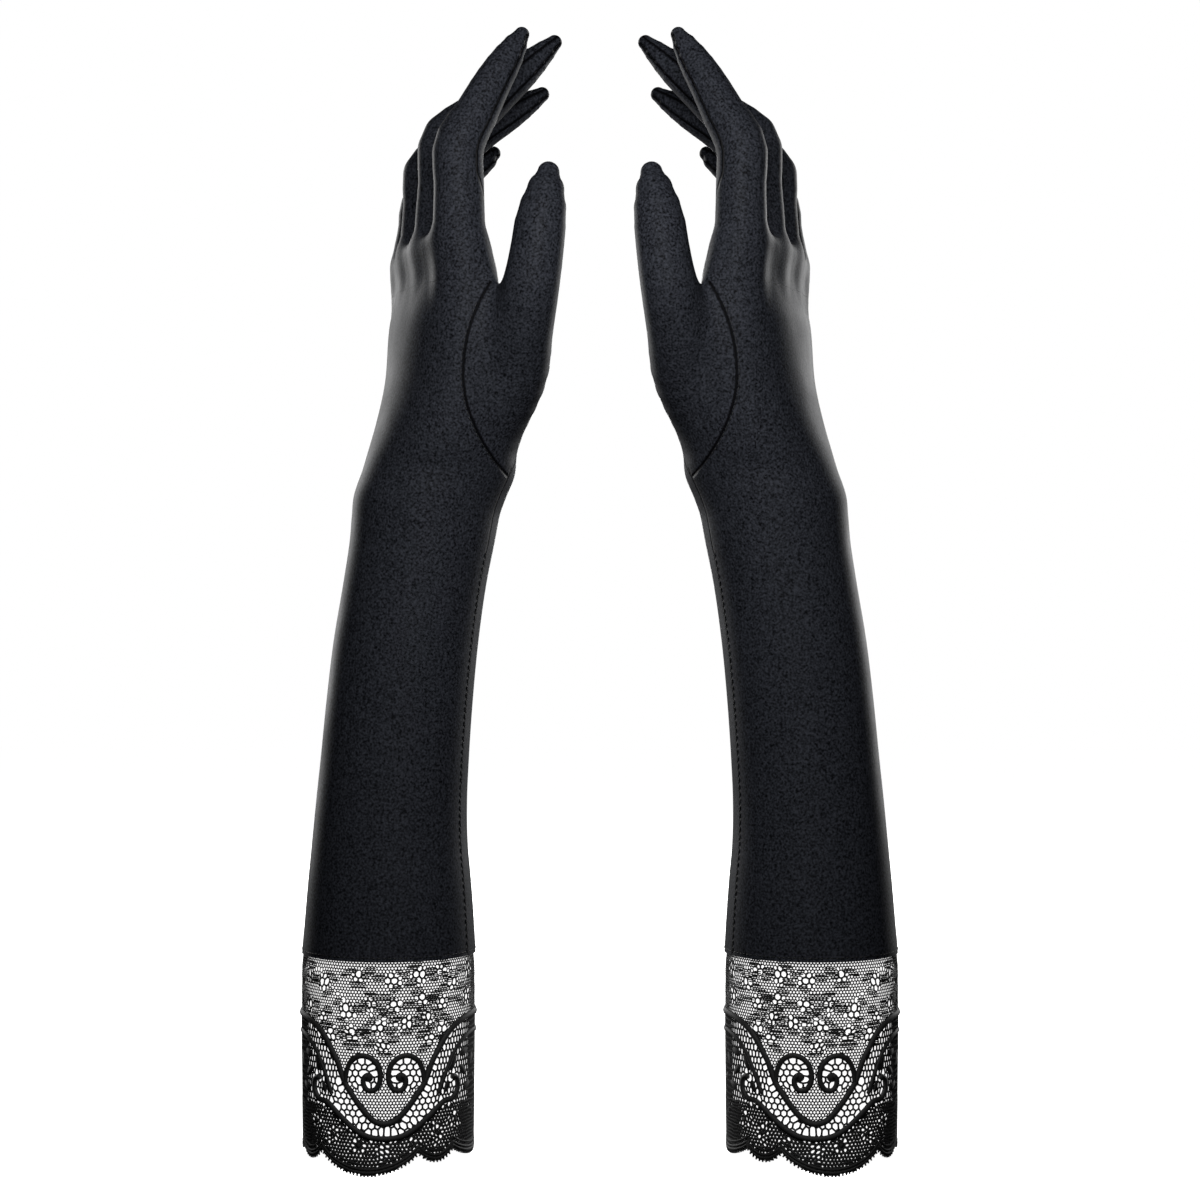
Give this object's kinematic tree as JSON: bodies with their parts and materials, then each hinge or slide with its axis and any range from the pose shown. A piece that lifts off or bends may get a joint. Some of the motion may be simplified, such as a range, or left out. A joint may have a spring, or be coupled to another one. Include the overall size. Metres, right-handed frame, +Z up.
{
  "type": "opera gloves",
  "caption": "Pair of long stretch-satin opera gloves with scalloped lace cuffs, shown upright as if worn, with turning fingers, thumbs and wrists.",
  "frame": {"origin": "middle of the pair's footprint, at the height of the lowest scallops of the lace", "axes": "+Z up along the arms to the fingertips, +X from the left glove to the right glove, +Y away from the thumbs towards the little fingers"},
  "size_m": [0.2418, 0.0943, 0.4547],
  "materials": {
    "satin": "black stretch satin with a soft, finely grained sheen",
    "lace": "black corded galloon lace on a fine open net",
    "thread": "black polyester sewing thread"
  },
  "bodies": {
    "left_arm": {"left_lace_cuff": "lace", "left_hem_thread": "thread", "left_arm_sleeve": "satin", "left_side_thread": "thread"},
    "left_palm": {"left_hand": "satin", "left_thumb_thread": "thread", "left_index_middle_fourchette": "satin", "left_middle_ring_fourchette": "satin", "left_ring_little_fourchette": "satin"},
    "left_thumb": {"left_thumb": "satin"},
    "left_index_near": {"left_index_base": "satin"},
    "left_index_far": {"left_index_tip": "satin"},
    "left_middle_near": {"left_middle_base": "satin"},
    "left_middle_far": {"left_middle_tip": "satin"},
    "left_ring_near": {"left_ring_base": "satin"},
    "left_ring_far": {"left_ring_tip": "satin"},
    "left_little_near": {"left_little_base": "satin"},
    "left_little_far": {"left_little_tip": "satin"},
    "right_arm": {"right_lace_cuff": "lace", "right_hem_thread": "thread", "right_arm_sleeve": "satin", "right_side_thread": "thread"},
    "right_palm": {"right_hand": "satin", "right_thumb_thread": "thread", "right_index_middle_fourchette": "satin", "right_middle_ring_fourchette": "satin", "right_ring_little_fourchette": "satin"},
    "right_thumb": {"right_thumb": "satin"},
    "right_index_near": {"right_index_base": "satin"},
    "right_index_far": {"right_index_tip": "satin"},
    "right_middle_near": {"right_middle_base": "satin"},
    "right_middle_far": {"right_middle_tip": "satin"},
    "right_ring_near": {"right_ring_base": "satin"},
    "right_ring_far": {"right_ring_tip": "satin"},
    "right_little_near": {"right_little_base": "satin"},
    "right_little_far": {"right_little_tip": "satin"}
  },
  "joints": [
    {"name": "left_wrist", "type": "hinge", "parent": "left_arm", "child": "left_palm", "pos_m": [-0.0674, 0.00429, 0.269], "axis": [-0.342, 0.9397, 0], "range_deg": [-29, 12]},
    {"name": "left_thumb_root", "type": "hinge", "parent": "left_palm", "child": "left_thumb", "pos_m": [-0.03442, -0.01616, 0.313], "axis": [0.9397, 0.342, 0], "range_deg": [-8, 25]},
    {"name": "left_index_knuckle", "type": "hinge", "parent": "left_palm", "child": "left_index_near", "pos_m": [-0.05495, -0.02406, 0.362], "axis": [-0.342, 0.9397, 0], "range_deg": [-18, 43]},
    {"name": "left_index_middle_joint", "type": "hinge", "parent": "left_index_near", "child": "left_index_far", "pos_m": [-0.05495, -0.02406, 0.4006], "axis": [-0.342, 0.9397, 0], "range_deg": [-25, 38]},
    {"name": "left_middle_knuckle", "type": "hinge", "parent": "left_palm", "child": "left_middle_near", "pos_m": [-0.06336, -0.00562, 0.366], "axis": [-0.342, 0.9397, 0], "range_deg": [-18, 43]},
    {"name": "left_middle_middle_joint", "type": "hinge", "parent": "left_middle_near", "child": "left_middle_far", "pos_m": [-0.06144, -0.00492, 0.40504], "axis": [-0.342, 0.9397, 0], "range_deg": [-37, 28]},
    {"name": "left_ring_knuckle", "type": "hinge", "parent": "left_palm", "child": "left_ring_near", "pos_m": [-0.07072, 0.01341, 0.364], "axis": [-0.342, 0.9397, 0], "range_deg": [-18, 43]},
    {"name": "left_ring_middle_joint", "type": "hinge", "parent": "left_ring_near", "child": "left_ring_far", "pos_m": [-0.06912, 0.01399, 0.39635], "axis": [-0.342, 0.9397, 0], "range_deg": [-42, 23]},
    {"name": "left_little_knuckle", "type": "hinge", "parent": "left_palm", "child": "left_little_near", "pos_m": [-0.07669, 0.03273, 0.3583], "axis": [-0.342, 0.9397, 0], "range_deg": [-18, 43]},
    {"name": "left_little_middle_joint", "type": "hinge", "parent": "left_little_near", "child": "left_little_far", "pos_m": [-0.07257, 0.03423, 0.38595], "axis": [-0.342, 0.9397, 0], "range_deg": [-33, 28]},
    {"name": "right_wrist", "type": "hinge", "parent": "right_arm", "child": "right_palm", "pos_m": [0.0674, 0.00429, 0.269], "axis": [-0.342, -0.9397, 0], "range_deg": [-29, 12]},
    {"name": "right_thumb_root", "type": "hinge", "parent": "right_palm", "child": "right_thumb", "pos_m": [0.03442, -0.01616, 0.313], "axis": [0.9397, -0.342, 0], "range_deg": [-8, 25]},
    {"name": "right_index_knuckle", "type": "hinge", "parent": "right_palm", "child": "right_index_near", "pos_m": [0.05495, -0.02406, 0.362], "axis": [-0.342, -0.9397, 0], "range_deg": [-18, 43]},
    {"name": "right_index_middle_joint", "type": "hinge", "parent": "right_index_near", "child": "right_index_far", "pos_m": [0.05495, -0.02406, 0.4006], "axis": [-0.342, -0.9397, 0], "range_deg": [-25, 38]},
    {"name": "right_middle_knuckle", "type": "hinge", "parent": "right_palm", "child": "right_middle_near", "pos_m": [0.06336, -0.00562, 0.366], "axis": [-0.342, -0.9397, 0], "range_deg": [-18, 43]},
    {"name": "right_middle_middle_joint", "type": "hinge", "parent": "right_middle_near", "child": "right_middle_far", "pos_m": [0.06144, -0.00492, 0.40504], "axis": [-0.342, -0.9397, 0], "range_deg": [-37, 28]},
    {"name": "right_ring_knuckle", "type": "hinge", "parent": "right_palm", "child": "right_ring_near", "pos_m": [0.07072, 0.01341, 0.364], "axis": [-0.342, -0.9397, 0], "range_deg": [-18, 43]},
    {"name": "right_ring_middle_joint", "type": "hinge", "parent": "right_ring_near", "child": "right_ring_far", "pos_m": [0.06912, 0.01399, 0.39635], "axis": [-0.342, -0.9397, 0], "range_deg": [-42, 23]},
    {"name": "right_little_knuckle", "type": "hinge", "parent": "right_palm", "child": "right_little_near", "pos_m": [0.07669, 0.03273, 0.3583], "axis": [-0.342, -0.9397, 0], "range_deg": [-18, 43]},
    {"name": "right_little_middle_joint", "type": "hinge", "parent": "right_little_near", "child": "right_little_far", "pos_m": [0.07257, 0.03423, 0.38595], "axis": [-0.342, -0.9397, 0], "range_deg": [-33, 28]},
    {"name": "gloves_apart", "type": "slide", "parent": "left_arm", "child": "right_arm", "axis": [0, 0, 1], "range_m": [0, 0.5]}
  ]
}
